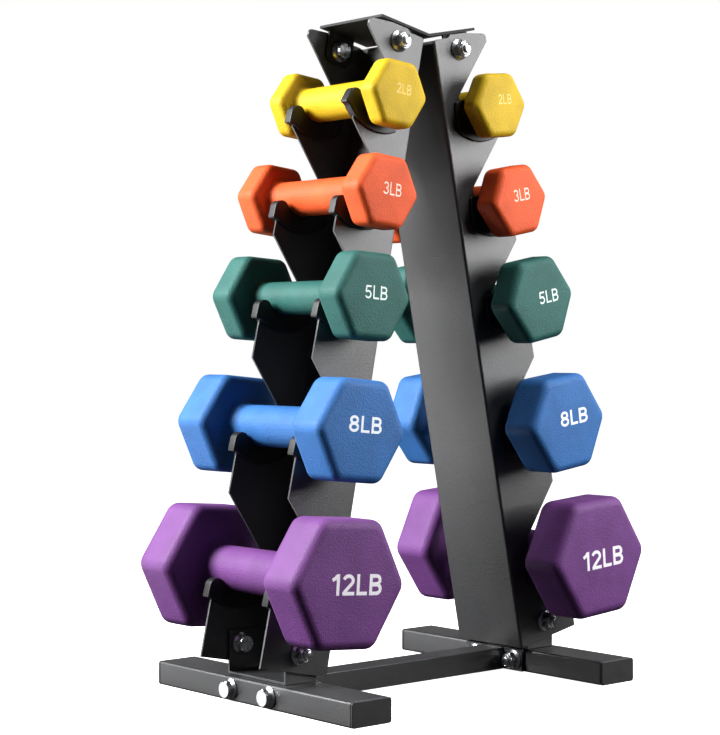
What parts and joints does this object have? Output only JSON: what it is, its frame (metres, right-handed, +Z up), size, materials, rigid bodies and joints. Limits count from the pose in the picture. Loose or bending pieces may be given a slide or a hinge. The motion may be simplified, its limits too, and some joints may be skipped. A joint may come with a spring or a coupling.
{
  "type": "dumbbell rack",
  "caption": "A-frame rack of folded steel channel uprights with rubber-lined hooks, loaded with hex-headed dumbbells that get smaller towards the top.",
  "frame": {"origin": "on the floor, below the middle of the rack", "axes": "+Z up, -Y the front that the numbered dumbbell ends face, +X towards the right-hand upright; the cross bar runs along X and the dumbbells along Y"},
  "size_m": [0.4031, 0.254, 0.5619],
  "materials": {
    "frame_paint": "charcoal powder coat, fine texture, semi-matt",
    "liner_rubber": "moulded, soft sheen",
    "foot_cap_plastic": "moulded, matt",
    "zinc_fastener": "bright zinc plate",
    "purple_neoprene": "cast iron dipped in coloured neoprene, matt with a fine leathery grain",
    "blue_neoprene": "cast iron dipped in coloured neoprene, matt with a fine leathery grain",
    "green_neoprene": "cast iron dipped in coloured neoprene, matt with a fine leathery grain",
    "orange_neoprene": "cast iron dipped in coloured neoprene, matt with a fine leathery grain",
    "yellow_neoprene": "cast iron dipped in coloured neoprene, matt with a fine leathery grain"
  },
  "bodies": {
    "rack": {"left_upright": "frame_paint", "right_upright": "frame_paint", "left_foot": "frame_paint", "right_foot": "frame_paint", "cross_bar": "frame_paint", "left_bar_plate": "frame_paint", "right_bar_plate": "frame_paint", "left_shoe": "frame_paint", "right_shoe": "frame_paint", "top_bracket": "frame_paint", "foot_cap_left_front": "foot_cap_plastic", "foot_cap_left_back": "foot_cap_plastic", "foot_cap_right_front": "foot_cap_plastic", "foot_cap_right_back": "foot_cap_plastic", "top_bolt_left_front": "zinc_fastener", "top_bolt_left_back": "zinc_fastener", "top_bolt_right_front": "zinc_fastener", "top_bolt_right_back": "zinc_fastener", "shoe_bolt_left_front": "zinc_fastener", "shoe_bolt_left_back": "zinc_fastener", "shoe_bolt_right_front": "zinc_fastener", "shoe_bolt_right_back": "zinc_fastener", "foot_bolt_left_front": "zinc_fastener", "foot_bolt_left_back": "zinc_fastener", "foot_bolt_right_front": "zinc_fastener", "foot_bolt_right_back": "zinc_fastener", "purple_liner_left_front": "liner_rubber", "purple_liner_left_back": "liner_rubber", "purple_liner_right_front": "liner_rubber", "purple_liner_right_back": "liner_rubber", "blue_liner_left_front": "liner_rubber", "blue_liner_left_back": "liner_rubber", "blue_liner_right_front": "liner_rubber", "blue_liner_right_back": "liner_rubber", "green_liner_left_front": "liner_rubber", "green_liner_left_back": "liner_rubber", "green_liner_right_front": "liner_rubber", "green_liner_right_back": "liner_rubber", "orange_liner_left_front": "liner_rubber", "orange_liner_left_back": "liner_rubber", "orange_liner_right_front": "liner_rubber", "orange_liner_right_back": "liner_rubber", "yellow_liner_left_front": "liner_rubber", "yellow_liner_left_back": "liner_rubber", "yellow_liner_right_front": "liner_rubber", "yellow_liner_right_back": "liner_rubber"},
    "purple_left_weight": {"purple_dumbbell_left": "purple_neoprene"},
    "purple_right_weight": {"purple_dumbbell_right": "purple_neoprene"},
    "blue_left_weight": {"blue_dumbbell_left": "blue_neoprene"},
    "blue_right_weight": {"blue_dumbbell_right": "blue_neoprene"},
    "green_left_weight": {"green_dumbbell_left": "green_neoprene"},
    "green_right_weight": {"green_dumbbell_right": "green_neoprene"},
    "orange_left_weight": {"orange_dumbbell_left": "orange_neoprene"},
    "orange_right_weight": {"orange_dumbbell_right": "orange_neoprene"},
    "yellow_left_weight": {"yellow_dumbbell_left": "yellow_neoprene"},
    "yellow_right_weight": {"yellow_dumbbell_right": "yellow_neoprene"}
  },
  "joints": [
    {"name": "purple_left_lift", "type": "slide", "parent": "rack", "child": "purple_left_weight", "axis": [-0.4462, 0, 0.8949], "range_m": [0, 0.02]},
    {"name": "purple_right_lift", "type": "slide", "parent": "rack", "child": "purple_right_weight", "axis": [0.4462, 0, 0.8949], "range_m": [0, 0.02]},
    {"name": "blue_left_lift", "type": "slide", "parent": "rack", "child": "blue_left_weight", "axis": [-0.4462, 0, 0.8949], "range_m": [0, 0.02]},
    {"name": "blue_right_lift", "type": "slide", "parent": "rack", "child": "blue_right_weight", "axis": [0.4462, 0, 0.8949], "range_m": [0, 0.02]},
    {"name": "green_left_lift", "type": "slide", "parent": "rack", "child": "green_left_weight", "axis": [-0.4462, 0, 0.8949], "range_m": [0, 0.02]},
    {"name": "green_right_lift", "type": "slide", "parent": "rack", "child": "green_right_weight", "axis": [0.4462, 0, 0.8949], "range_m": [0, 0.02]},
    {"name": "orange_left_lift", "type": "slide", "parent": "rack", "child": "orange_left_weight", "axis": [-0.4462, 0, 0.8949], "range_m": [0, 0.02]},
    {"name": "orange_right_lift", "type": "slide", "parent": "rack", "child": "orange_right_weight", "axis": [0.4462, 0, 0.8949], "range_m": [0, 0.02]},
    {"name": "yellow_left_lift", "type": "slide", "parent": "rack", "child": "yellow_left_weight", "axis": [-0.4462, 0, 0.8949], "range_m": [0, 0.02]},
    {"name": "yellow_right_lift", "type": "slide", "parent": "rack", "child": "yellow_right_weight", "axis": [0.4462, 0, 0.8949], "range_m": [0, 0.02]}
  ]
}
